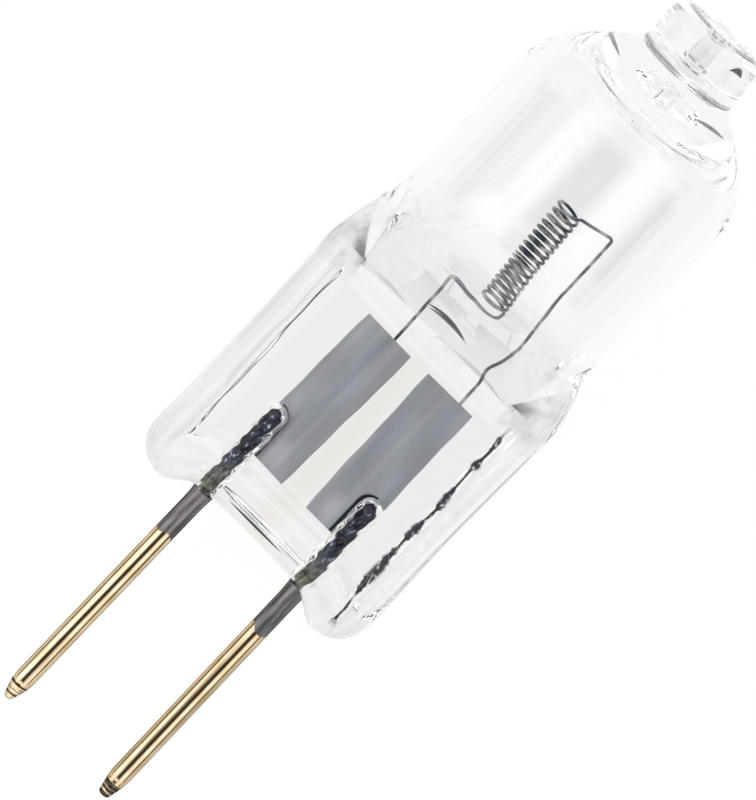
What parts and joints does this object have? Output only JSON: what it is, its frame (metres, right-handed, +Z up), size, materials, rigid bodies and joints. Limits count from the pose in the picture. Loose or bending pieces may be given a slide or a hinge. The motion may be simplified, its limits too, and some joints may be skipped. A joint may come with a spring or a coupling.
{
  "type": "halogen capsule bulb",
  "caption": "Clear quartz capsule lamp with a flat pinch seal, an upright coiled filament, sealing foils and round contact pins for a pin socket.",
  "frame": {"origin": "centre of the lying lamp's bounding box, on the surface it rests on", "axes": "+X along the floor from the pin tips towards the sealed tip, +Y towards the left pin, +Z up; the lamp axis lies in the XZ plane and rises 10.7 degrees towards the tip"},
  "size_m": [0.0452, 0.0138, 0.0129],
  "materials": {
    "quartz": "clear fused quartz, fire polished",
    "tungsten": "bare drawn tungsten wire",
    "foil": "thin rolled molybdenum foil, satin",
    "pins": "molybdenum rod, gold plated below the glass and bare grey next to it"
  },
  "bodies": {
    "root": {"quartz_envelope": "quartz", "filament": "tungsten", "foil_left": "foil", "foil_right": "foil", "pin_left": "pins", "pin_right": "pins"}
  },
  "joints": []
}
